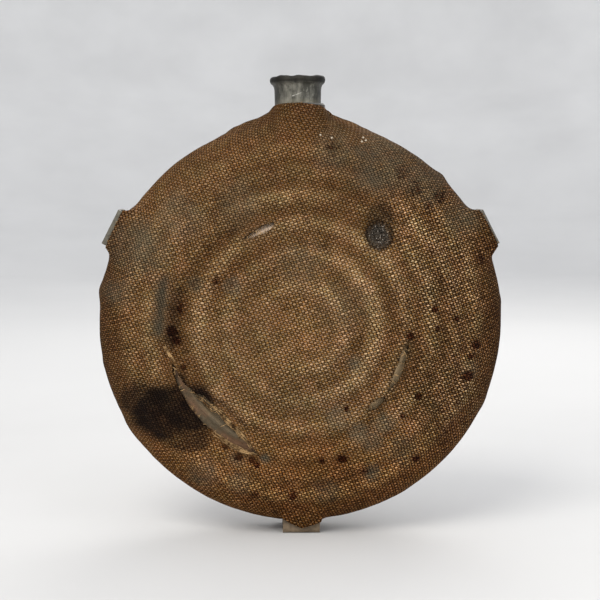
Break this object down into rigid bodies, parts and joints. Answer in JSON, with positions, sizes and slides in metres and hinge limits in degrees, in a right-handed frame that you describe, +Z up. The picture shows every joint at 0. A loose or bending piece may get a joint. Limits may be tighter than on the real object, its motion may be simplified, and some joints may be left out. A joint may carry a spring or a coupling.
{
  "type": "canteen",
  "caption": "Round two-shell metal canteen with raised rings, a short lipped spout, sling loops on the rim and a sewn cloth cover.",
  "frame": {"origin": "middle of the bottom loop's flat outer face, on which the canteen stands", "axes": "+Z up through the spout, front face towards -Y, +X to the right seen from the front"},
  "size_m": [0.1986, 0.073, 0.224],
  "materials": {
    "tinned_iron": "dull, worn tin plate with brown tarnish",
    "pewter": "dull cast pewter, dented, darker at the lip",
    "solder": "dull grey",
    "cloth": "coarse plain-woven wool and jute, stained and worn through on the rings",
    "thread": "waxed linen"
  },
  "bodies": {
    "root": {"front_shell": "tinned_iron", "back_shell": "tinned_iron", "rim_solder": "solder", "spout": "pewter", "spout_collar": "tinned_iron", "spout_solder": "solder", "collar_solder": "solder", "left_loop": "tinned_iron", "right_loop": "tinned_iron", "bottom_loop": "tinned_iron", "left_loop_solder": "solder", "right_loop_solder": "solder", "bottom_loop_solder": "solder", "front_cover": "cloth", "back_cover": "cloth", "rim_stitches": "thread", "neck_stitches": "thread"}
  },
  "joints": []
}
